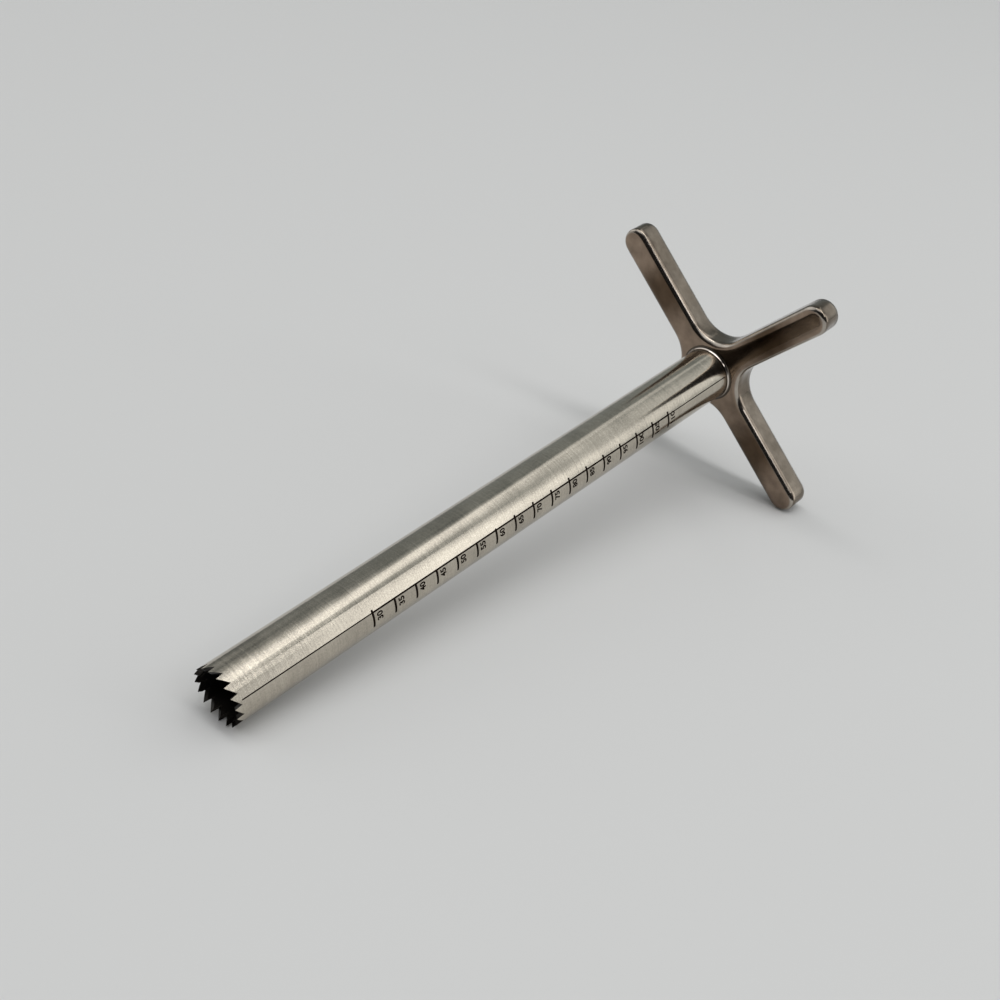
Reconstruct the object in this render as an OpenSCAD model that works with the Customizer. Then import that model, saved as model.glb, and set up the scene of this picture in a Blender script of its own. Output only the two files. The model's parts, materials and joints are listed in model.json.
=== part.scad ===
// Hand trepan: a hollow saw on a four-arm cross handle, lying at rest on a floor.
// The floor is z = 0 and +X runs from the saw crown to the handle.
// Each piece is drawn in the tool's own frame, with the tooth tips at z = 0, the tube along +Z
// and +X towards the gap between the two upper arms. rest_pose() then lays the tool on the floor.

/* [Tube] */
// Outer diameter of the cutting tube
tube_d = 11; // [9:0.5:12]
// Wall of the cutting tube
tube_wall = 0.75; // [0.5:0.05:1.2]
// Length of the tube, from its tooth tips to the back face of the handle
tube_length = 135; // [100:1:180]

/* [Saw crown] */
// Number of teeth
tooth_count = 17; // [12:1:24]
// Depth of the gullets between the teeth
tooth_depth = 1.5; // [0.8:0.1:2.5]
// Share of the pitch under the steep leading flank of a tooth
tooth_lead = 0.08; // [0:0.01:0.2]
// Width of the flat left on the tip of a tooth
tooth_land = 0.1; // [0.05:0.01:0.3]
// Drop of a tooth's edge from the outside of the tube to the bore
tooth_bevel = 0.45; // [0.2:0.05:0.8]
// Turn of the first tooth from the top of the tube, in degrees
tooth_phase = -8.5; // [-15:0.5:15]

/* [Cross handle] */
// Span of two opposite arms, end to end
handle_span = 68.2; // [54:0.2:90]
// Width of an arm
arm_w = 6.25; // [5:0.25:8]
// Thickness of the cross along the tube
handle_t = 5.5; // [4:0.25:8]
// Radius on the edges of the cross
edge_r = 1; // [0.5:0.1:1.4]
// Radius of the fillets between the arms
root_r = 7.5; // [6.5:0.25:10]

/* [Brazed joint] */
// Depth turned off the outside of the tube where it sits in the cross
seat_cut = 0.2; // [0.1:0.05:0.3]
// Gap between this seat and the bore of the cross
braze_gap = 0.05; // [0.03:0.01:0.1]
// Reach of the braze fillet along the tube and over the face of the cross
braze_reach = 0.7; // [0.4:0.1:1]
// Thickness of the braze fillet at its two rims
braze_rim = 0.08; // [0.05:0.01:0.15]

/* [Hidden] */
$fn = 96;
over = 1;

tube_r = tube_d / 2;
bore_r = tube_r - tube_wall;
seat_r = tube_r - seat_cut;
front_z = tube_length - handle_t;
shoulder_z = front_z - braze_reach;

pitch_angle = 360 / tooth_count;
pitch_chord = 2 * tube_r * sin(pitch_angle / 2);
bevel_angle = atan2(tooth_bevel, tube_wall);
function tooth_angle(i) = tooth_phase + i * pitch_angle;

hub_half = arm_w / 2 + root_r;
end_center = (handle_span - arm_w) / 2;
arm_length = end_center - hub_half;
arm_turn = 45;

// The tool rests on its lowest tooth tip and on the ends of its two lower arms.
tooth_drop = tube_r * max([for (i = [0:tooth_count - 1]) -cos(tooth_angle(i))]);
arm_drop = end_center * cos(arm_turn) + arm_w / 2 - edge_r;
rest_run = front_z + edge_r;
rest_rise = arm_drop - tooth_drop;
rest_tilt = atan2(rest_rise, rest_run) + asin(edge_r / norm([rest_run, rest_rise]));

// Furthest points along the floor, measured from the centre of the tooth tips
crown_reach = -tube_r * sin(rest_tilt);
handle_reach = (tube_length - edge_r) * cos(rest_tilt) + arm_drop * sin(rest_tilt) + edge_r;
rest_place = [-(crown_reach + handle_reach) / 2, 0, tooth_drop * cos(rest_tilt)];

// Lays the upright tool on the floor, with its +X turned up
module rest_pose() {
    translate(rest_place)
        rotate([0, 90 - rest_tilt, 0])
            rotate(180)
                children();
}

// Cross-section of an arm: a rectangle with rounded corners, on its lower left corner
module arm_section() {
    translate([edge_r, 0])
        square([arm_w - 2 * edge_r, handle_t]);
    translate([0, edge_r])
        square([arm_w, handle_t - 2 * edge_r]);
    for (x = [edge_r, arm_w - edge_r], y = [edge_r, handle_t - edge_r])
        translate([x, y])
            circle(edge_r);
}

// Straight stretch of an arm, along +X from the origin
module arm_bar() {
    rotate([90, 0, 90])
        linear_extrude(arm_length)
            translate([-arm_w / 2, 0])
                arm_section();
}

// Half-round end of an arm, towards +X
module arm_end() {
    rotate(-90)
        rotate_extrude(angle = 180)
            intersection() {
                translate([-arm_w / 2, 0])
                    arm_section();
                square([arm_w / 2, handle_t]);
            }
}

// Cutter that leaves the fillet between two arms, flared to round its edges as those of the arms
module fillet_cutter() {
    rotate_extrude()
        difference() {
            square([root_r + edge_r, handle_t]);
            translate([root_r, 0])
                arm_section();
        }
}

// Middle of the cross, between the straight stretches of the arms
module hub() {
    difference() {
        translate([-hub_half, -hub_half, 0])
            cube([2 * hub_half, 2 * hub_half, handle_t]);
        for (x = [-hub_half, hub_half], y = [-hub_half, hub_half])
            translate([x, y, 0])
                fillet_cutter();
    }
}

// Wedge that one gullet takes out of the tube, slanted behind a tooth and steep ahead of the next,
// and tilted about the outside of the tube so that it is deeper at the bore
module gullet_cutter() {
    half = (pitch_chord - tooth_land) / 2;
    floor_x = half * (1 - 2 * tooth_lead);
    depth = tooth_depth * cos(bevel_angle);
    slant = (floor_x + half) / depth;
    steep = (half - floor_x) / depth;
    translate([tube_r, 0, 0])
        rotate([0, bevel_angle, 0])
            translate([-tube_r, 0, 0])
                rotate([90, 0, 90])
                    linear_extrude(tube_r + over)
                        polygon([
                            [-half - slant * over, -over],
                            [half + steep * over, -over],
                            [floor_x, depth]
                        ]);
}

// Cone that bevels the tips of the teeth from the bore, up to the flat on the outside
module tip_bevel_cutter() {
    slope = tube_wall / tooth_bevel;
    edge_r_out = tube_r - tooth_land / 2;
    translate([0, 0, -over])
        cylinder(
            h = 2 * over + tooth_bevel,
            r1 = edge_r_out + slope * over,
            r2 = edge_r_out - slope * (tooth_bevel + over)
        );
}

module cutting_tube() {
    color("silver")
        rest_pose()
            difference() {
                union() {
                    cylinder(h = shoulder_z, r = tube_r);
                    cylinder(h = tube_length, r = seat_r);
                }
                translate([0, 0, -over])
                    cylinder(h = tube_length + 2 * over, r = bore_r);
                for (i = [0:tooth_count - 1])
                    rotate(tooth_angle(i + 0.5))
                        gullet_cutter();
                tip_bevel_cutter();
            }
}

// Hollow fillet between the shoulder of the tube and the front face of the cross
module braze_ring() {
    color("gainsboro")
        rest_pose()
            translate([0, 0, front_z])
                rotate_extrude()
                    difference() {
                        translate([seat_r, -braze_reach])
                            square([seat_cut + braze_reach, braze_reach]);
                        translate([tube_r + braze_reach, -braze_reach])
                            circle(braze_reach - braze_rim);
                    }
}

module cross_handle() {
    color("dimgray")
        rest_pose()
            translate([0, 0, front_z])
                difference() {
                    rotate(arm_turn) {
                        hub();
                        for (i = [0:3])
                            rotate(90 * i) {
                                translate([hub_half, 0, 0])
                                    arm_bar();
                                translate([end_center, 0, 0])
                                    arm_end();
                            }
                    }
                    translate([0, 0, -over])
                        cylinder(h = handle_t + 2 * over, r = seat_r + braze_gap);
                }
}

cutting_tube();
braze_ring();
cross_handle();
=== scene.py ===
"""Hand trepan with a cross handle, lying at rest on a pale studio floor.

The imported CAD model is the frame, in metres. The cross handle and the braze ring keep their CAD
solids and get their finishes here. The saw tube is turned again with a finer wall and crown, and the
depth scale is marked on it.
"""

import json
import logging
import math
from dataclasses import dataclass, field
from enum import Enum, IntEnum
from typing import Any, ClassVar, Sequence

import bmesh
import bpy
from mathutils import Matrix, Vector


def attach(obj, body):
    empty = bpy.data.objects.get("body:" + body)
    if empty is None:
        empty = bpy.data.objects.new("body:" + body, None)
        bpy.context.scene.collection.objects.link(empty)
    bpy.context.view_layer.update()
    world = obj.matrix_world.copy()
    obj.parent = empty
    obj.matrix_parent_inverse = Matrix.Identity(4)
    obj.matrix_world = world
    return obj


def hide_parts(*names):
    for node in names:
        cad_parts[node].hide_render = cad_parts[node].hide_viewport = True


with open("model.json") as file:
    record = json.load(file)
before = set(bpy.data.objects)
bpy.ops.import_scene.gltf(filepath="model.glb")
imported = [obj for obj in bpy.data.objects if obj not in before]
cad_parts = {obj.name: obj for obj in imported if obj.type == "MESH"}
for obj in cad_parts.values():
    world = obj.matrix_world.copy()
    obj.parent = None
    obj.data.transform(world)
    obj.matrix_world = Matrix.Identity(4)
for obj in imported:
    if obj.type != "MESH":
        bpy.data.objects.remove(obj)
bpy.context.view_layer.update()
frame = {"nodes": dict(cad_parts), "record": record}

LOG = logging.getLogger("hand_trepan")
MM = 0.001
BODY = "root"

# Points closer than this are one point.
WELD = 0.001 * MM
# Most values of a noise lie in this span.
NOISE_SPAN = (0.3, 0.7)

Socket = bpy.types.NodeSocket
Colour = tuple[float, float, float]
Point = tuple[float, float, float]
Span = tuple[float, float]


class Grain(Enum):
    """Way that the last polish ran over a surface: its feature sizes along, across and up the tool."""

    TURNED = (0.3 * MM, 20.0 * MM, 20.0 * MM)
    DRAWN = (6.0 * MM, 0.25 * MM, 0.25 * MM)
    BUFFED = (0.5 * MM, 0.9 * MM, 0.9 * MM)


class TubeFace(IntEnum):
    """Kind of a face of the saw tube, as the index of its finish."""

    WALL = 0
    BORE = 1
    GROUND = 2


@dataclass(frozen=True)
class ToolFrame:
    """The tool's own axes in the row frame.

    Attributes:
        tip: Middle of the saw crown, level with the tooth tips.
        along: Direction of the tube, from the crown to the handle.
        up: Direction square to the tube, away from the floor.
    """

    tip: Vector
    along: Vector
    up: Vector

    @classmethod
    def from_frame(cls, record: dict[str, Any], tube: bpy.types.Object) -> "ToolFrame":
        """Finds the tool's axis from the bore mount and the tooth tips from the CAD tube.

        Args:
            record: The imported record.
            tube: CAD node of the cutting tube.

        Returns:
            The tool frame.
        """
        bore = find_mount(record, "core_bore")
        back = Vector(bore["pos_m"])
        along = Vector(bore["axis"]).normalized()
        reach = min((v.co - back).dot(along) for v in tube.data.vertices)
        up = along.cross(Vector((0.0, 1.0, 0.0))).normalized()
        return cls(tip=back + along * reach, along=along, up=up)

    def matrix(self) -> Matrix:
        """Returns the matrix that takes tool coordinates to the row frame."""
        across = self.up.cross(self.along)
        turn = Matrix((self.along, across, self.up)).transposed().to_4x4()
        return Matrix.Translation(self.tip) @ turn


def find_mount(record: dict[str, Any], name: str) -> dict[str, Any]:
    """Finds one mount of the record.

    Args:
        record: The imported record.
        name: The mount's name.

    Returns:
        The mount.
    """
    return next(mount for mount in record["mounts"] if mount["name"] == name)


class FinishSheet:
    """Node sheet of one material, with the few steps that the finishes are mixed from."""

    def __init__(self, name: str, tool: ToolFrame) -> None:
        """Starts a sheet with an empty Principled shader.

        Args:
            name: The material's name.
            tool: Frame that the patterns follow.
        """
        self.tool = tool
        self.material = bpy.data.materials.new(name)
        self.material.use_nodes = True
        self.tree = self.material.node_tree
        self.shader = next(n for n in self.tree.nodes if n.type == "BSDF_PRINCIPLED")
        self.place = self.tree.nodes.new("ShaderNodeTexCoord").outputs["Object"]

    def spot(self, units: Sequence[float], station: float = 0.0, turn: float = 0.0) -> Socket:
        """Measures the surface in the tool's own axes.

        Args:
            units: Unit of length along the tube, across it and up, in metres.
            station: Station along the tube that counts as 0, in metres.
            turn: Turn of the two cross axes round the tube, in degrees.

        Returns:
            Socket with the place.
        """
        turned = Matrix.Rotation(math.radians(turn), 4, "X")
        axes = self.tool.matrix() @ Matrix.Translation((station, 0.0, 0.0)) @ turned
        mapping = self.tree.nodes.new("ShaderNodeMapping")
        mapping.vector_type = "TEXTURE"
        mapping.inputs["Location"].default_value = axes.translation
        mapping.inputs["Rotation"].default_value = axes.to_euler()
        mapping.inputs["Scale"].default_value = units
        self.tree.links.new(self.place, mapping.inputs["Vector"])
        return mapping.outputs["Vector"]

    def pattern(self, lengths: Sequence[float], detail: float, rough: float = 0.55) -> Socket:
        """Adds noise that is stretched along the tool's axes.

        Args:
            lengths: Feature size along the tube, across it and up, in metres.
            detail: Octaves of the noise.
            rough: Share of each finer octave.

        Returns:
            Socket with the noise, about 0.5 on average.
        """
        noise = self.tree.nodes.new("ShaderNodeTexNoise")
        noise.inputs["Scale"].default_value = 1.0
        noise.inputs["Detail"].default_value = detail
        noise.inputs["Roughness"].default_value = rough
        self.tree.links.new(self.spot(lengths), noise.inputs["Vector"])
        return noise.outputs["Fac"]

    def spread(self, value: Socket, low: float, high: float) -> Socket:
        """Maps the middle of a noise on a range of values.

        Args:
            value: Socket with the noise.
            low: Result at the low end of the noise's span.
            high: Result at its high end.

        Returns:
            Socket with the mapped value.
        """
        node = self.tree.nodes.new("ShaderNodeMapRange")
        node.inputs["From Min"].default_value, node.inputs["From Max"].default_value = NOISE_SPAN
        node.inputs["To Min"].default_value = low
        node.inputs["To Max"].default_value = high
        self.tree.links.new(value, node.inputs["Value"])
        return node.outputs["Result"]

    def step(self, value: Socket, start: float, end: float) -> Socket:
        """Steps softly from 0 to 1.

        Args:
            value: Socket with the value.
            start: Value at which the step starts.
            end: Value at which it ends.

        Returns:
            Socket with the step.
        """
        node = self.tree.nodes.new("ShaderNodeMapRange")
        node.interpolation_type = "SMOOTHSTEP"
        node.inputs["From Min"].default_value = start
        node.inputs["From Max"].default_value = end
        self.tree.links.new(value, node.inputs["Value"])
        return node.outputs["Result"]

    def blend(self, share: Socket, low: Colour | Socket, high: Colour | Socket) -> Socket:
        """Blends two colours.

        Args:
            share: Socket with the share of the second colour.
            low: Colour at a share of 0, or a socket with it.
            high: Colour at a share of 1, or a socket with it.

        Returns:
            Socket with the colour.
        """
        node = self.tree.nodes.new("ShaderNodeMix")
        node.data_type = "RGBA"
        # A Mix node has sockets of one name for each data type, so the colour ones are found by type.
        for name, colour in (("A", low), ("B", high)):
            socket = next(s for s in node.inputs if s.name == name and s.type == "RGBA")
            if isinstance(colour, Socket):
                self.tree.links.new(colour, socket)
            else:
                socket.default_value = (*colour, 1.0)
        self.tree.links.new(share, node.inputs["Factor"])
        return next(s for s in node.outputs if s.type == "RGBA")

    def bump(self, height: Socket, depth: float, strength: float, base: Socket | None = None) -> Socket:
        """Turns a height into a bumped normal.

        Args:
            height: Socket with the height.
            depth: Height of 1 in metres.
            strength: Share of the bump.
            base: Socket with the normal that is bumped, if it isn't the surface's own.

        Returns:
            Socket with the normal.
        """
        node = self.tree.nodes.new("ShaderNodeBump")
        node.inputs["Strength"].default_value = strength
        node.inputs["Distance"].default_value = depth
        self.tree.links.new(height, node.inputs["Height"])
        if base is not None:
            self.tree.links.new(base, node.inputs["Normal"])
        return node.outputs["Normal"]

    def number(self, operation: str, *terms: Socket | float) -> Socket:
        """Adds one step of arithmetic.

        Args:
            operation: Name of the Math node's operation.
            terms: Sockets with the values, or the values.

        Returns:
            Socket with the result.
        """
        return self.reckon("ShaderNodeMath", operation, terms).outputs["Value"]

    def vector(self, operation: str, *terms: Socket | Point) -> Socket:
        """Adds one step of vector arithmetic that gives a vector.

        Args:
            operation: Name of the Vector Math node's operation.
            terms: Sockets with the vectors, or the vectors.

        Returns:
            Socket with the result.
        """
        return self.reckon("ShaderNodeVectorMath", operation, terms).outputs["Vector"]

    def measure(self, operation: str, *terms: Socket | Point) -> Socket:
        """Adds one step of vector arithmetic that gives a number.

        Args:
            operation: Name of the Vector Math node's operation.
            terms: Sockets with the vectors, or the vectors.

        Returns:
            Socket with the result.
        """
        return self.reckon("ShaderNodeVectorMath", operation, terms).outputs["Value"]

    def reckon(self, kind: str, operation: str, terms: Sequence[Any]) -> bpy.types.Node:
        """Adds a Math or Vector Math node.

        Args:
            kind: Type of the node.
            operation: Name of its operation.
            terms: Sockets, or values that are the same all over.

        Returns:
            The node.
        """
        node = self.tree.nodes.new(kind)
        node.operation = operation
        for term, socket in zip(terms, node.inputs):
            if isinstance(term, Socket):
                self.tree.links.new(term, socket)
            else:
                socket.default_value = term
        return node

    def off_axis(self) -> Socket:
        """Returns a socket with the distance from the tool's axis in millimetres."""
        return self.measure("LENGTH", self.vector("MULTIPLY", self.spot((MM, MM, MM)), (0.0, 1.0, 1.0)))

    def facing(self) -> Socket:
        """Returns a socket with 1 where the surface faces along the tool's axis and 0 where across."""
        normal = self.tree.nodes.new("ShaderNodeNewGeometry").outputs["Normal"]
        return self.number("ABSOLUTE", self.measure("DOT_PRODUCT", normal, tuple(self.tool.along)))

    def use(self, socket: Socket, name: str) -> None:
        """Links a socket to one input of the shader.

        Args:
            socket: Socket with the value.
            name: Name of the shader's input.
        """
        self.tree.links.new(socket, self.shader.inputs[name])


@dataclass(frozen=True)
class FaceTone:
    """Tone of the faces square to the tool's axis, with a painted highlight on the edges round them.

    Attributes:
        tone: Colour of the faces.
        edge: Colour of the edges, a painted highlight.
        share: Share of the tone on the faces.
        edge_turn: How far a surface has turned to the axis where the edges' colour sets in.
        face_turn: How far it has turned where the faces' colour sets in.
        middle: Darker colour along the middle stretch of each arm, where it has one: painted shade that
            stands in for the dark reflections there.
        start: Distances from the axis in millimetres over which this stretch sets in.
        end: Distances over which it fades.
    """

    tone: Colour
    edge: Colour
    share: float
    edge_turn: Span = (0.2, 0.4)
    face_turn: Span = (0.75, 0.97)
    middle: Colour | None = None
    start: Span = (10.0, 18.0)
    end: Span = (21.0, 28.0)

    def lay(self, sheet: FinishSheet, colour: Socket) -> Socket:
        """Lays the tone over a colour.

        Args:
            sheet: Sheet of the material.
            colour: Socket with the colour under it.

        Returns:
            Socket with the colour.
        """
        tone: Colour | Socket = self.tone
        # Painted shade: the faces are darkened along the middle stretch of each arm, where dark
        # reflections fall.
        if self.middle is not None:
            run = sheet.off_axis()
            stretch = sheet.number("SUBTRACT", sheet.step(run, *self.start), sheet.step(run, *self.end))
            tone = sheet.blend(stretch, self.tone, self.middle)
        facing = sheet.facing()
        # Painted highlight: surfaces turned between the faces and the sides get the bright edge colour.
        painted_edge_highlight = sheet.blend(sheet.step(facing, *self.edge_turn), colour, self.edge)
        share = sheet.number("MULTIPLY", sheet.step(facing, *self.face_turn), self.share)
        return sheet.blend(share, painted_edge_highlight, tone)


@dataclass(frozen=True)
class EdgeRoll:
    """Hand polish that runs the flat faces and sides of the cross softly into its edges.

    Lengths are in millimetres.

    Attributes:
        tool_length: Length from the tooth tips to the back face of the cross.
        thickness: Thickness of the cross.
        arm_width: Width of an arm.
        arm_turn: Turn of the arms from upright, in degrees.
        fillet_radius: Radius of the fillets between the arms.
        face_reach: Distance from the outline within which a face rolls over.
        side_start: Distance from the middle of a side at which it starts to roll over.
        roll: Drop of the roll for each square millimetre.
    """

    tool_length: float = 135.0
    thickness: float = 5.5
    arm_width: float = 6.25
    arm_turn: float = 45.0
    fillet_radius: float = 7.5
    face_reach: float = 1.9
    side_start: float = 0.9
    roll: float = 0.13

    def lay(self, sheet: FinishSheet) -> Socket:
        """Bends the normal over towards the edges.

        Args:
            sheet: Sheet of the material.

        Returns:
            Socket with the normal.
        """
        middle = (self.tool_length - self.thickness / 2) * MM
        fillet_centre = self.arm_width / 2 + self.fillet_radius
        reach = sheet.vector("ABSOLUTE", sheet.spot((MM, MM, MM), middle, self.arm_turn))
        short = sheet.vector("SUBTRACT", (0.0, fillet_centre, fillet_centre), reach)
        inside = sheet.vector("MAXIMUM", short, (0.0, 0.0, 0.0))
        inset = sheet.number("SUBTRACT", sheet.measure("LENGTH", inside), self.fillet_radius)
        face = sheet.number("MAXIMUM", sheet.number("SUBTRACT", self.face_reach, inset), 0.0)
        split = sheet.tree.nodes.new("ShaderNodeSeparateXYZ")
        sheet.tree.links.new(reach, split.inputs["Vector"])
        side = sheet.number("MAXIMUM", sheet.number("SUBTRACT", split.outputs["X"], self.side_start), 0.0)
        drop = sheet.number("ADD", sheet.number("POWER", face, 2.0), sheet.number("POWER", side, 2.0))
        return sheet.bump(sheet.number("MULTIPLY", drop, -self.roll), depth=MM, strength=1.0)


@dataclass(frozen=True)
class SteelFinish:
    """A steel surface: its two tones, its gloss, and the grain that its polish left.

    Attributes:
        name: Name of the material.
        light: Colour of the light patches.
        dark: Colour of the dark patches.
        roughness: Roughness where the surface is dullest, before the grain's share.
        grain: Way that the polish ran.
        gloss_spread: Change of the roughness over the clouds, and again over the grain.
        cloud_size: Size of the soft clouds.
        cloud_tone: Share of the light colour that the clouds give.
        grain_tone: Share of it that the grain adds.
        groove: Depth of the grain's grooves.
        groove_share: Share of the grooves in the normal.
        speck: Share of the light colour that fine specks add or take.
        speck_size: Size of the specks.
        stain: Share of the brightness that stains add or take.
        stain_size: Size of the stains.
        anisotropy: Stretch of the gloss across the turning lines.
        face: Tone of the faces square to the tool's axis, with its painted highlight and painted shade,
            where they have one.
        edges: Roll of the faces into the edges, where polish left one.
    """

    name: str
    light: Colour
    dark: Colour
    roughness: float
    grain: Grain
    gloss_spread: float = 0.04
    cloud_size: float = 7.0 * MM
    cloud_tone: Span = (0.1, 0.6)
    grain_tone: Span = (0.0, 0.3)
    groove: float = 0.004 * MM
    groove_share: float = 0.3
    speck: float = 0.0
    speck_size: float = 0.28 * MM
    stain: float = 0.0
    stain_size: float = 3.5 * MM
    anisotropy: float = 0.0
    face: FaceTone | None = None
    edges: EdgeRoll | None = None

    def make(self, tool: ToolFrame) -> bpy.types.Material:
        """Makes the material.

        Args:
            tool: Frame that the grain follows.

        Returns:
            The material.
        """
        sheet = FinishSheet(self.name, tool)
        clouds = sheet.pattern((self.cloud_size,) * 3, detail=3.0)
        grain = sheet.pattern(self.grain.value, detail=5.0, rough=0.6)
        sheet.use(self.colour(sheet, clouds, grain), "Base Color")
        gloss = sheet.number(
            "ADD",
            sheet.spread(clouds, self.roughness - self.gloss_spread, self.roughness),
            sheet.spread(grain, 0.0, self.gloss_spread),
        )
        sheet.use(gloss, "Roughness")
        base = self.edges.lay(sheet) if self.edges is not None else None
        sheet.use(sheet.bump(grain, self.groove, self.groove_share, base), "Normal")
        sheet.shader.inputs["Metallic"].default_value = 1.0
        if self.anisotropy:
            sheet.shader.inputs["Anisotropic"].default_value = self.anisotropy
            tangent = sheet.tree.nodes.new("ShaderNodeTangent")
            tangent.direction_type = "UV_MAP"
            tangent.uv_map = CuttingTube.uv_name
            sheet.use(tangent.outputs["Tangent"], "Tangent")
        return sheet.material

    def colour(self, sheet: FinishSheet, clouds: Socket, grain: Socket) -> Socket:
        """Mixes the colour.

        Args:
            sheet: Sheet of the material.
            clouds: Socket with the clouds.
            grain: Socket with the grain.

        Returns:
            Socket with the colour.
        """
        tone = sheet.number(
            "ADD",
            sheet.spread(clouds, *self.cloud_tone),
            sheet.spread(grain, *self.grain_tone),
        )
        if self.speck:
            specks = sheet.pattern((self.speck_size,) * 3, detail=2.0)
            tone = sheet.number("ADD", tone, sheet.spread(specks, -self.speck, self.speck))
        colour = sheet.blend(tone, self.dark, self.light)
        # The face tone paints a highlight on the edges and, where it has a middle colour, shade into the
        # colour.
        if self.face is not None:
            colour = self.face.lay(sheet, colour)
        if self.stain:
            stains = sheet.pattern((self.stain_size,) * 3, detail=4.0)
            shade = sheet.spread(stains, 1.0 - self.stain, 1.0 + self.stain)
            colour = sheet.vector("MULTIPLY", colour, shade)
        return colour


@dataclass(frozen=True)
class MarkFinish:
    """The dark oxide of a mark burnt into steel, a little uneven in tone.

    Attributes:
        name: Name of the material.
        light: Colour of the light patches.
        dark: Colour of the dark patches.
        roughness: Roughness on average.
        gloss_spread: Change of the roughness to both sides.
        patch_size: Size of the patches.
        pit: Depth of the pits in the oxide.
        pit_share: Share of the pits in the normal.
    """

    name: str = "burnt_mark"
    light: Colour = (0.016, 0.011, 0.008)
    dark: Colour = (0.004, 0.003, 0.002)
    roughness: float = 0.65
    gloss_spread: float = 0.1
    patch_size: float = 0.35 * MM
    pit: float = 0.01 * MM
    pit_share: float = 0.4

    def make(self, tool: ToolFrame) -> bpy.types.Material:
        """Makes the material.

        Args:
            tool: Frame that the pattern follows.

        Returns:
            The material.
        """
        sheet = FinishSheet(self.name, tool)
        patches = sheet.pattern((self.patch_size,) * 3, detail=4.0)
        gloss = (self.roughness - self.gloss_spread, self.roughness + self.gloss_spread)
        sheet.use(sheet.blend(sheet.spread(patches, 0.0, 1.0), self.dark, self.light), "Base Color")
        sheet.use(sheet.spread(patches, *gloss), "Roughness")
        sheet.use(sheet.bump(patches, self.pit, self.pit_share), "Normal")
        sheet.shader.inputs["Specular IOR Level"].default_value = 0.0
        return sheet.material


TUBE_STEEL = SteelFinish(
    name="turned_tube_steel",
    light=(0.605, 0.551, 0.464),
    dark=(0.375, 0.340, 0.286),
    roughness=0.165,
    grain=Grain.TURNED,
    grain_tone=(-0.05, 0.35),
    groove=0.006 * MM,
    groove_share=0.5,
    speck=0.24,
    anisotropy=0.75,
)
# Painted shade: the ground tooth flanks are near black, far darker than bare ground steel, standing in for
# the dark room that they mirror.
GROUND_STEEL = SteelFinish(
    name="ground_tooth_steel",
    light=(0.036, 0.032, 0.028),
    dark=(0.013, 0.012, 0.01),
    roughness=0.3,
    grain=Grain.BUFFED,
)
BORE_STEEL = SteelFinish(
    name="dark_bore_steel",
    light=(0.050, 0.044, 0.038),
    dark=(0.018, 0.016, 0.014),
    roughness=0.5,
    grain=Grain.DRAWN,
)
# Painted light: the ring's dark colours and the darker rim against the cross are painted shade for its
# dark outlines, and the bright edge colour across the fillet is a painted highlight line.
BRAZE_METAL = SteelFinish(
    name="braze_metal_painted_shade_and_highlight",
    light=(0.20, 0.17, 0.145),
    dark=(0.12, 0.10, 0.08),
    roughness=0.11,
    grain=Grain.BUFFED,
    cloud_size=1.5 * MM,
    groove=0.01 * MM,
    face=FaceTone(
        tone=(0.09, 0.075, 0.06),
        edge=(0.66, 0.6, 0.54),
        share=1.0,
        edge_turn=(0.12, 0.3),
        face_turn=(0.6, 0.8),
    ),
)
HANDLE_STEEL = SteelFinish(
    name="polished_handle_steel",
    light=(0.238, 0.206, 0.172),
    dark=(0.168, 0.135, 0.102),
    roughness=0.15,
    gloss_spread=0.03,
    grain=Grain.BUFFED,
    groove=0.002 * MM,
    stain=0.24,
    # Painted light: the bright edge colour is a painted highlight along the rounded edges, and the dark
    # middle is painted shade for the dark reflections on each arm.
    face=FaceTone(
        tone=(0.25, 0.184, 0.136),
        edge=(0.44, 0.4, 0.35),
        share=0.94,
        middle=(0.075, 0.044, 0.023),
    ),
    edges=EdgeRoll(),
)


def to_piece(bm: bmesh.types.BMesh, name: str, finishes: Sequence[bpy.types.Material]) -> bpy.types.Object:
    """Makes a linked object of a mesh and lets it ride on the tool's body.

    Args:
        bm: The mesh in the row frame; it is freed.
        name: Name of the piece.
        finishes: Materials by the faces' index.

    Returns:
        The piece.
    """
    mesh = bpy.data.meshes.new(name)
    bm.to_mesh(mesh)
    bm.free()
    for finish in finishes:
        mesh.materials.append(finish)
    piece = bpy.data.objects.new(name, mesh)
    bpy.context.scene.collection.objects.link(piece)
    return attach(piece, BODY)


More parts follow.
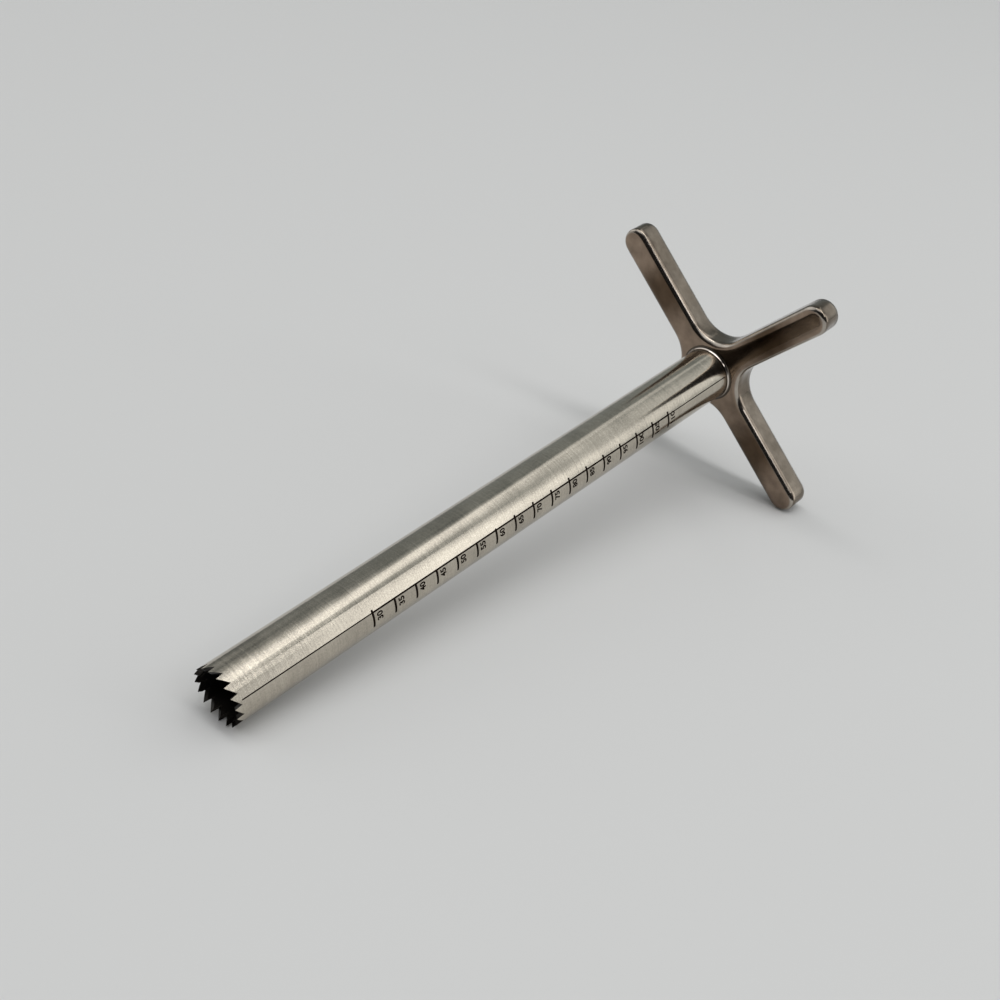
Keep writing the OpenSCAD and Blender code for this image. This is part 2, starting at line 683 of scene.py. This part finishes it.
@dataclass
class CuttingTube:
    """Saw tube: a thin wall turned down at its seat, with raked teeth round its front end.

    Attributes:
        uv_name: Name of the map that unrolls the tube.
        tool: Frame of the tool.
        outer_radius: Radius of the tube.
        bore_radius: Radius of its bore.
        shoulder: Station of the shoulder in front of the seat, from the tooth tips.
        length: Length of the tube.
        seat_radius: Radius of the seat in the cross.
        crown_length: Length of the front stretch that the teeth are cut in.
        edge_break: Width of the broken edges at the back end.
        tooth_count: Number of teeth.
        tooth_depth: Depth of the gullets.
        tooth_bevel: Drop of a tooth's edge from the outside to the bore.
        tooth_phase: Turn of the first tooth from the top, in degrees.
        steps_per_tooth: Steps of the turned wall under each tooth.
        sharp_angle: Angle from which an edge stays sharp, in radians.
        even: Difference of radii up to which a face is part of the wall or the bore.
    """

    uv_name: ClassVar[str] = "turning"

    tool: ToolFrame
    outer_radius: float
    bore_radius: float
    shoulder: float
    length: float = 135.0 * MM
    seat_radius: float = 5.3 * MM
    crown_length: float = 3.0 * MM
    edge_break: float = 0.12 * MM
    tooth_count: int = 17
    tooth_depth: float = 1.5 * MM
    tooth_bevel: float = 0.45 * MM
    tooth_phase: float = -8.5
    steps_per_tooth: int = 12
    sharp_angle: float = math.radians(25.0)
    even: float = 0.01 * MM

    def profile(self) -> list[tuple[float, float]]:
        """Returns the wall's outline as stations along the tube with their radii."""
        back, shoulder = self.length, self.shoulder
        return [
            (0.0, self.outer_radius),
            (self.crown_length, self.outer_radius),
            (shoulder, self.outer_radius),
            (shoulder, self.seat_radius),
            (back - self.edge_break, self.seat_radius),
            (back, self.seat_radius - self.edge_break),
            (back, self.bore_radius + self.edge_break),
            (back - self.edge_break, self.bore_radius),
            (self.crown_length, self.bore_radius),
            (0.0, self.bore_radius),
        ]

    def turn_wall(self) -> bmesh.types.BMesh:
        """Turns the wall's outline into the tube, in tool coordinates.

        Returns:
            The mesh of the plain tube, with a step of the turn under each tooth tip.
        """
        bm = bmesh.new()
        ring = [bm.verts.new((station, 0.0, radius)) for station, radius in self.profile()]
        sides = [bm.edges.new(pair) for pair in zip(ring, ring[1:] + ring[:1])]
        bmesh.ops.spin(
            bm,
            geom=ring + sides,
            cent=(0.0, 0.0, 0.0),
            axis=(1.0, 0.0, 0.0),
            angle=math.tau,
            steps=self.tooth_count * self.steps_per_tooth,
            use_merge=True,
        )
        phase = Matrix.Rotation(math.radians(self.tooth_phase), 3, "X")
        bmesh.ops.rotate(bm, cent=(0.0, 0.0, 0.0), matrix=phase, verts=bm.verts[:])
        bmesh.ops.remove_doubles(bm, verts=bm.verts[:], dist=WELD)
        bmesh.ops.recalc_face_normals(bm, faces=bm.faces[:])
        return bm

    def angle(self, point: Vector) -> float:
        """Returns a point's turn round the tube from the top, in degrees."""
        return math.degrees(math.atan2(-point.y, point.z))

    def radius(self, point: Vector) -> float:
        """Returns a point's distance from the tube's axis."""
        return math.hypot(point.y, point.z)

    def middle(self) -> float:
        """Returns the radius of the middle of the wall."""
        return (self.outer_radius + self.bore_radius) / 2

    def cut_teeth(self, bm: bmesh.types.BMesh) -> None:
        """Cuts the gullets: each one slants down behind a tooth and ends steep under the next.

        The edge drops towards the bore, so that a tooth cuts with its outside.

        Args:
            bm: Mesh of the plain tube.
        """
        step = 360.0 / (self.tooth_count * self.steps_per_tooth)
        for vert in bm.verts:
            if vert.co.x < WELD:
                place = round((self.angle(vert.co) - self.tooth_phase) / step) % self.steps_per_tooth
                bevel = self.tooth_bevel if self.radius(vert.co) < self.middle() else 0.0
                vert.co.x = self.tooth_depth * place / (self.steps_per_tooth - 1) + bevel

    def sort_faces(self, bm: bmesh.types.BMesh) -> None:
        """Gives each face its finish, its shading and its place on the turned wall.

        Args:
            bm: Mesh of the tube in tool coordinates.
        """
        layer = bm.loops.layers.uv.new(self.uv_name)
        for face in bm.faces:
            radii = [self.radius(v.co) for v in face.verts]
            if max(radii) - min(radii) > self.even:
                face.material_index = TubeFace.GROUND
            elif max(radii) > self.middle():
                face.material_index = TubeFace.WALL
            else:
                face.material_index = TubeFace.BORE
            face.smooth = True
            start = self.angle(face.calc_center_median())
            for loop in face.loops:
                turn = (self.angle(loop.vert.co) - start + 180.0) % 360.0 - 180.0
                loop[layer].uv = (loop.vert.co.x, math.radians(start + turn) * self.outer_radius)
        for edge in bm.edges:
            edge.smooth = edge.calc_face_angle(math.pi) < self.sharp_angle

    def build(self) -> bpy.types.Object:
        """Builds the tube and puts it in the place of its CAD solid.

        Returns:
            The piece.
        """
        bm = self.turn_wall()
        self.cut_teeth(bm)
        self.sort_faces(bm)
        bmesh.ops.transform(bm, matrix=self.tool.matrix(), verts=bm.verts[:])
        steels = {TubeFace.WALL: TUBE_STEEL, TubeFace.BORE: BORE_STEEL, TubeFace.GROUND: GROUND_STEEL}
        piece = to_piece(bm, "saw_tube", [steels[kind].make(self.tool) for kind in TubeFace])
        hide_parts("cutting_tube")
        return piece


@dataclass
class DepthScale:
    """Depth scale burnt into the tube: one line along it, with a tick and a number every 5 mm.

    Angles are turns round the tube from its top, in degrees.

    Attributes:
        tool: Frame of the tool.
        tube_radius: Radius of the tube.
        zero: Station of the scale's zero, from the tooth tips.
        first: First numbered reading, in millimetres.
        last: Last numbered reading.
        step: Step from one reading to the next.
        line_start: Station at which the line starts.
        line_end: Station at which it ends.
        line_angles: Angles of its two ends.
        line_widths: Widths of the line before the first tick, among the ticks and after the last.
        tick_width: Width of a tick.
        tick_top: Angle at which a tick starts.
        tick_end: Angle at which it ends.
        short_ticks: Readings whose ticks start lower, with the angle.
        end_round: Share of a strip's width that rounds each of its corners.
        end_steps: Steps of these rounds.
        number_angle: Angle of the numbers.
        number_gap: Distance of a number behind its tick.
        digit_height: Height of a digit.
        digit_pitch: Distance from digit to digit.
        digit_gap: Share of the pitch that is left free in a number.
        digit_weight: Growth of the digits' outline, in the font's units.
        digit_curve_steps: Steps of the digits' curves.
        arc_cut: Length round the tube of the flat facets that the marks are bent in.
        sunk: Depth of the marks' underside in the wall.
        proud: Height of their top above it.
    """

    tool: ToolFrame
    tube_radius: float
    zero: float = -0.8 * MM
    first: int = 30
    last: int = 110
    step: int = 5
    line_start: float = 1.7 * MM
    line_end: float = 128.5 * MM
    line_angles: Span = (67.0, 69.8)
    line_widths: tuple[float, float, float] = (0.23 * MM, 0.34 * MM, 0.2 * MM)
    tick_width: float = 0.45 * MM
    tick_top: float = 61.5
    tick_end: float = 100.3
    short_ticks: dict[int, float] = field(
        default_factory=lambda: {**dict.fromkeys(range(35, 60, 5), 67.0), 60: 64.5, 65: 63.0}
    )
    end_round: float = 0.35
    end_steps: int = 3
    number_angle: float = 81.0
    number_gap: float = 0.75 * MM
    digit_height: float = 1.32 * MM
    digit_pitch: float = 0.91 * MM
    digit_gap: float = 0.1
    digit_weight: float = 0.032
    digit_curve_steps: int = 4
    arc_cut: float = 0.3 * MM
    sunk: float = 0.02 * MM
    proud: float = 0.01 * MM

    def arc(self, angle: float) -> float:
        """Returns the length round the tube from its top to an angle in degrees."""
        return math.radians(angle) * self.tube_radius

    def station(self, reading: float) -> float:
        """Returns how far behind the tooth tips a reading of the scale in millimetres lies."""
        return self.zero + reading * MM

    def readings(self) -> range:
        """Returns the numbered readings."""
        return range(self.first, self.last + 1, self.step)

    def strip(self, bm: bmesh.types.BMesh, start: Vector, end: Vector, width: float) -> None:
        """Adds a flat strip with rounded ends to the unrolled scale.

        Args:
            bm: Mesh of the unrolled scale, with x along the tube and y round it.
            start: Middle of one end.
            end: Middle of the other end.
            width: Width of the strip.
        """
        run = end - start
        turn = Matrix.Rotation(math.atan2(run.y, run.x), 4, "Z")
        size = Matrix.Diagonal((run.length, width, 1.0, 1.0))
        place = Matrix.Translation((*((start + end) / 2), 0.0)) @ turn @ size
        corners = bmesh.ops.create_grid(bm, x_segments=1, y_segments=1, size=0.5, matrix=place)["verts"]
        bmesh.ops.bevel(
            bm,
            geom=corners,
            offset=width * self.end_round,
            affect="VERTICES",
            segments=self.end_steps,
            profile=0.5,
            material=-1,
        )

    def draw_lines(self) -> bmesh.types.BMesh:
        """Draws the line and the ticks of the unrolled scale.

        Returns:
            The flat mesh.
        """
        bm = bmesh.new()
        start = Vector((self.line_start, self.arc(self.line_angles[0])))
        end = Vector((self.line_end, self.arc(self.line_angles[1])))
        first, last = (
            start.lerp(end, (self.station(reading) - start.x) / (end.x - start.x))
            for reading in (self.first, self.last)
        )
        for stretch, width in zip(((start, first), (first, last), (last, end)), self.line_widths):
            self.strip(bm, *stretch, width)
        for reading in self.readings():
            station = self.station(reading)
            top = Vector((station, self.arc(self.short_ticks.get(reading, self.tick_top))))
            self.strip(bm, top, Vector((station, self.arc(self.tick_end))), self.tick_width)
        return bm

    def draw_number(self, bm: bmesh.types.BMesh, reading: int) -> None:
        """Adds one number behind its tick, upright when the tool is held with its teeth up.

        Args:
            bm: Mesh of the unrolled scale.
            reading: The number.
        """
        curve = bpy.data.curves.new("digits", "FONT")
        curve.body = str(reading)
        curve.offset = self.digit_weight
        curve.resolution_u = self.digit_curve_steps
        text = bpy.data.objects.new("digits", curve)
        bpy.context.scene.collection.objects.link(text)
        bpy.context.view_layer.update()
        mesh = bpy.data.meshes.new_from_object(text.evaluated_get(bpy.context.evaluated_depsgraph_get()))
        xs, ys = [v.co.x for v in mesh.vertices], [v.co.y for v in mesh.vertices]
        width = self.digit_pitch * (len(str(reading)) - self.digit_gap)
        fit = (width / (max(xs) - min(xs)), self.digit_height / (max(ys) - min(ys)), 1.0, 1.0)
        middle = Matrix.Translation((-(min(xs) + max(xs)) / 2, -max(ys), 0.0))
        # The digits' heads point to the crown, and a number reads towards the top of the tube.
        lay = Matrix(((0.0, -1.0, 0.0), (-1.0, 0.0, 0.0), (0.0, 0.0, 1.0))).to_4x4()
        spot = (self.station(reading) + self.number_gap, self.arc(self.number_angle), 0.0)
        mesh.transform(Matrix.Translation(spot) @ lay @ Matrix.Diagonal(fit) @ middle)
        bm.from_mesh(mesh)
        bpy.data.objects.remove(text)
        bpy.data.curves.remove(curve)
        bpy.data.meshes.remove(mesh)

    def draw_numbers(self) -> bmesh.types.BMesh:
        """Draws all the numbers of the unrolled scale.

        Returns:
            The flat mesh.
        """
        bm = bmesh.new()
        for reading in self.readings():
            self.draw_number(bm, reading)
        bmesh.ops.remove_doubles(bm, verts=bm.verts[:], dist=WELD)
        return bm

    def wrap(self, bm: bmesh.types.BMesh) -> None:
        """Gives a flat drawing its thickness and lays it round the tube.

        Args:
            bm: Flat mesh of the unrolled scale.
        """
        low, high = (pick(v.co.y for v in bm.verts) for pick in (min, max))
        cuts = int((high - low) / self.arc_cut)
        for cut in range(1, cuts + 1):
            everything = bm.verts[:] + bm.edges[:] + bm.faces[:]
            level = (0.0, low + cut * self.arc_cut, 0.0)
            bmesh.ops.bisect_plane(bm, geom=everything, plane_co=level, plane_no=(0.0, 1.0, 0.0))
        raised = bmesh.ops.extrude_face_region(bm, geom=bm.faces[:], use_keep_orig=True)["geom"]
        tops = [item for item in raised if isinstance(item, bmesh.types.BMVert)]
        bmesh.ops.translate(bm, vec=(0.0, 0.0, self.sunk + self.proud), verts=tops)
        for vert in bm.verts:
            turn = vert.co.y / self.tube_radius
            radius = self.tube_radius - self.sunk + vert.co.z
            vert.co = (vert.co.x, -radius * math.sin(turn), radius * math.cos(turn))
        bmesh.ops.recalc_face_normals(bm, faces=bm.faces[:])
        bmesh.ops.transform(bm, matrix=self.tool.matrix(), verts=bm.verts[:])

    def build(self) -> list[bpy.types.Object]:
        """Builds the marks on the tube.

        Returns:
            The lines and the numbers.
        """
        finish = MarkFinish().make(self.tool)
        pieces = []
        for name, bm in (("scale_lines", self.draw_lines()), ("scale_numbers", self.draw_numbers())):
            self.wrap(bm)
            pieces.append(to_piece(bm, name, [finish]))
        return pieces


@dataclass
class SteelNode:
    """A solid that keeps its CAD shape and gets its finish here.

    Attributes:
        tool: Frame of the tool.
        node: Name of the CAD node.
        finish: Finish of the whole solid.
    """

    tool: ToolFrame
    node: str
    finish: SteelFinish

    def dress(self) -> bpy.types.Object:
        """Puts the finish on every material slot of the solid.

        Returns:
            The CAD node's object.
        """
        solid = frame["nodes"][self.node]
        material = self.finish.make(self.tool)
        for slot in solid.material_slots:
            slot.material = material
        return solid


@dataclass(frozen=True)
class SkyLobe:
    """A soft patch of the room's light.

    Attributes:
        azimuth: Direction of its middle round the room from +X, in degrees.
        elevation: Height of its middle over the horizon.
        core: Angle from its middle up to which it is at its strongest.
        rim: Angle from its middle at which it ends.
        radiance: What it adds to the room's light, or takes.
        tint: Colour of what it adds.
    """

    azimuth: float
    elevation: float
    core: float
    rim: float
    radiance: float
    tint: Colour = (1.0, 1.0, 1.0)

    def axis(self) -> Vector:
        """Returns the direction of the patch's middle."""
        turn, rise = math.radians(self.azimuth), math.radians(self.elevation)
        return Vector((math.cos(turn) * math.cos(rise), math.sin(turn) * math.cos(rise), math.sin(rise)))


@dataclass(frozen=True)
class SoftBox:
    """A flat soft light.

    Attributes:
        name: Name of the light.
        place: Its middle.
        aim: Point that it faces.
        along: Direction of its long side.
        size: Its length and width.
        radiance: Its brightness.
    """

    name: str
    place: Point
    aim: Point
    along: Point
    size: tuple[float, float]
    radiance: float

    def hang(self) -> bpy.types.Object:
        """Hangs the light.

        Returns:
            The light.
        """
        lamp = bpy.data.lights.new(self.name, "AREA")
        lamp.shape = "RECTANGLE"
        lamp.size, lamp.size_y = self.size
        lamp.energy = math.pi * self.size[0] * self.size[1] * self.radiance
        light = bpy.data.objects.new(self.name, lamp)
        back = (Vector(self.place) - Vector(self.aim)).normalized()
        side = back.cross(Vector(self.along).cross(back)).normalized()
        light.location = self.place
        light.rotation_euler = Matrix((side, back.cross(side), back)).transposed().to_euler()
        light.visible_camera = False
        bpy.context.scene.collection.objects.link(light)
        return light


@dataclass
class Studio:
    """Pale floor, soft lights and the camera.

    Attributes:
        floor_size: Side of the floor.
        floor_cells: Cells along a side of its mesh.
        floor_colour: Its colour.
        floor_roughness: Its roughness.
        floor_specular: Its specular level.
        room_radiance: Light of the room apart from its patches.
        least_radiance: Least light that a dark patch leaves.
        lobes: Bright and dark patches of the room.
        lamps: Soft lights.
        camera_place: Place of the camera.
        camera_aim: Point at the middle of its picture.
        camera_roll: Its turn about its own axis, in degrees.
        camera_field: Its field of view, in degrees.
        camera_near: Distance from which it sees.
    """

    floor_size: float = 6.0
    floor_cells: int = 8
    floor_colour: Colour = (0.62, 0.62, 0.615)
    floor_roughness: float = 0.7
    floor_specular: float = 0.2
    room_radiance: float = 0.05
    least_radiance: float = 0.02
    lobes: tuple[SkyLobe, ...] = (
        SkyLobe(azimuth=180.0, elevation=80.0, core=10.0, rim=47.0, radiance=1.15),
        SkyLobe(azimuth=48.0, elevation=69.0, core=5.0, rim=19.0, radiance=-0.4),
        SkyLobe(azimuth=108.0, elevation=26.0, core=8.0, rim=38.0, radiance=1.0),
        SkyLobe(azimuth=214.0, elevation=20.0, core=18.0, rim=44.0, radiance=-0.9),
        SkyLobe(azimuth=0.0, elevation=10.0, core=40.0, rim=95.0, radiance=0.26, tint=(0.92, 1.02, 1.02)),
        SkyLobe(azimuth=-22.0, elevation=28.0, core=8.0, rim=38.0, radiance=0.62),
        SkyLobe(azimuth=-62.0, elevation=14.0, core=5.0, rim=28.0, radiance=0.45),
    )
    lamps: tuple[SoftBox, ...] = (
        SoftBox(
            name="key_strip",
            place=(0.02, -0.3, 1.45),
            aim=(0.02, -0.3, 0.0),
            along=(-0.12, 0.993, 0.0),
            size=(2.2, 0.22),
            radiance=4.9,
        ),
        SoftBox(
            name="side_box",
            place=(-0.06, -1.36, 1.18),
            aim=(0.0, 0.0, 0.0),
            along=(1.0, 0.0, 0.0),
            size=(0.8, 0.36),
            radiance=2.8,
        ),
        SoftBox(
            name="near_strip",
            place=(0.64, -0.2, 1.8),
            aim=(0.64, -0.2, 0.0),
            along=(0.253, 0.967, 0.0),
            size=(0.95, 0.3),
            radiance=0.95,
        ),
        SoftBox(
            name="far_strip",
            place=(1.1, 0.44, 1.8),
            aim=(1.1, 0.44, 0.0),
            along=(0.75, 0.66, 0.0),
            size=(0.9, 0.28),
            radiance=0.65,
        ),
        SoftBox(
            name="window",
            place=(0.87, -1.5, 1.06),
            aim=(0.87, 0.0, 1.06),
            along=(0.0, 0.0, 1.0),
            size=(2.1, 0.45),
            radiance=1.3,
        ),
    )
    camera_place: Point = (-0.170538, -0.134819, 0.155928)
    camera_aim: Point = (-0.003570, 0.0, 0.017528)
    camera_roll: float = 7.8
    camera_field: float = 39.76
    camera_near: float = 0.01

    def lay_floor(self) -> bpy.types.Object:
        """Lays the floor that the tool rests on.

        Returns:
            The floor.
        """
        bm = bmesh.new()
        cells = self.floor_cells
        bmesh.ops.create_grid(bm, x_segments=cells, y_segments=cells, size=self.floor_size / 2)
        mesh = bpy.data.meshes.new("floor")
        bm.to_mesh(mesh)
        bm.free()
        material = bpy.data.materials.new("pale_floor")
        material.use_nodes = True
        shader = next(n for n in material.node_tree.nodes if n.type == "BSDF_PRINCIPLED")
        shader.inputs["Base Color"].default_value = (*self.floor_colour, 1.0)
        shader.inputs["Roughness"].default_value = self.floor_roughness
        shader.inputs["Specular IOR Level"].default_value = self.floor_specular
        mesh.materials.append(material)
        floor = bpy.data.objects.new("floor", mesh)
        bpy.context.scene.collection.objects.link(floor)
        return floor

    def light_room(self) -> None:
        """Lights the room: grey walls with soft bright and dark patches."""
        world = bpy.data.worlds.new("grey_room")
        bpy.context.scene.world = world
        world.use_nodes = True
        tree = world.node_tree
        background = next(n for n in tree.nodes if n.type == "BACKGROUND")
        place = tree.nodes.new("ShaderNodeTexCoord").outputs["Generated"]
        total: Socket | None = None
        for lobe in self.lobes:
            facing = tree.nodes.new("ShaderNodeVectorMath")
            facing.operation = "DOT_PRODUCT"
            facing.inputs[1].default_value = lobe.axis()
            patch = tree.nodes.new("ShaderNodeMapRange")
            patch.interpolation_type = "SMOOTHSTEP"
            patch.inputs["From Min"].default_value = math.cos(math.radians(lobe.rim))
            patch.inputs["From Max"].default_value = math.cos(math.radians(lobe.core))
            added = tree.nodes.new("ShaderNodeVectorMath")
            added.operation = "MULTIPLY_ADD"
            added.inputs[1].default_value = Vector(lobe.tint) * lobe.radiance
            added.inputs[2].default_value = (self.room_radiance,) * 3
            tree.links.new(place, facing.inputs[0])
            tree.links.new(facing.outputs["Value"], patch.inputs["Value"])
            tree.links.new(patch.outputs["Result"], added.inputs[0])
            if total is not None:
                tree.links.new(total, added.inputs[2])
            total = added.outputs["Vector"]
        least = tree.nodes.new("ShaderNodeVectorMath")
        least.operation = "MAXIMUM"
        least.inputs[1].default_value = (self.least_radiance,) * 3
        tree.links.new(total, least.inputs[0])
        tree.links.new(least.outputs["Vector"], background.inputs["Color"])

    def set_camera(self) -> bpy.types.Object:
        """Sets the camera at the photograph's angle.

        Returns:
            The camera.
        """
        lens = bpy.data.cameras.new("camera")
        lens.angle = math.radians(self.camera_field)
        lens.clip_start = self.camera_near
        camera = bpy.data.objects.new("camera", lens)
        place, aim = Vector(self.camera_place), Vector(self.camera_aim)
        turn = (aim - place).to_track_quat("-Z", "Y").to_matrix()
        camera.location = place
        camera.rotation_euler = (turn @ Matrix.Rotation(math.radians(self.camera_roll), 3, "Z")).to_euler()
        bpy.context.scene.collection.objects.link(camera)
        bpy.context.scene.camera = camera
        return camera

    def build(self) -> None:
        """Builds the floor, the lights and the camera."""
        self.lay_floor()
        self.light_room()
        for lamp in self.lamps:
            lamp.hang()
        self.set_camera()
        bpy.context.scene.view_settings.view_transform = "Standard"


def main() -> None:
    """Builds the tool and its studio, piece by piece."""
    logging.basicConfig(level=logging.INFO, format="%(name)s: %(message)s")
    record = frame["record"]
    tool = ToolFrame.from_frame(record, frame["nodes"]["cutting_tube"])
    shank = find_mount(record, "guide_shank")["dims"]
    bore = find_mount(record, "core_bore")["dims"]
    tube = CuttingTube(
        tool=tool,
        outer_radius=shank["r_mm"] * MM,
        bore_radius=bore["r_mm"] * MM,
        shoulder=shank["length_mm"] * MM,
    )
    pieces = [tube.build()]
    pieces += DepthScale(tool=tool, tube_radius=tube.outer_radius).build()
    pieces.append(SteelNode(tool, "braze_ring", BRAZE_METAL).dress())
    pieces.append(SteelNode(tool, "cross_handle", HANDLE_STEEL).dress())
    for piece in pieces:
        LOG.info("%s: %d faces", piece.name, len(piece.data.polygons))
    Studio().build()


if __name__ == "__main__":
    main()
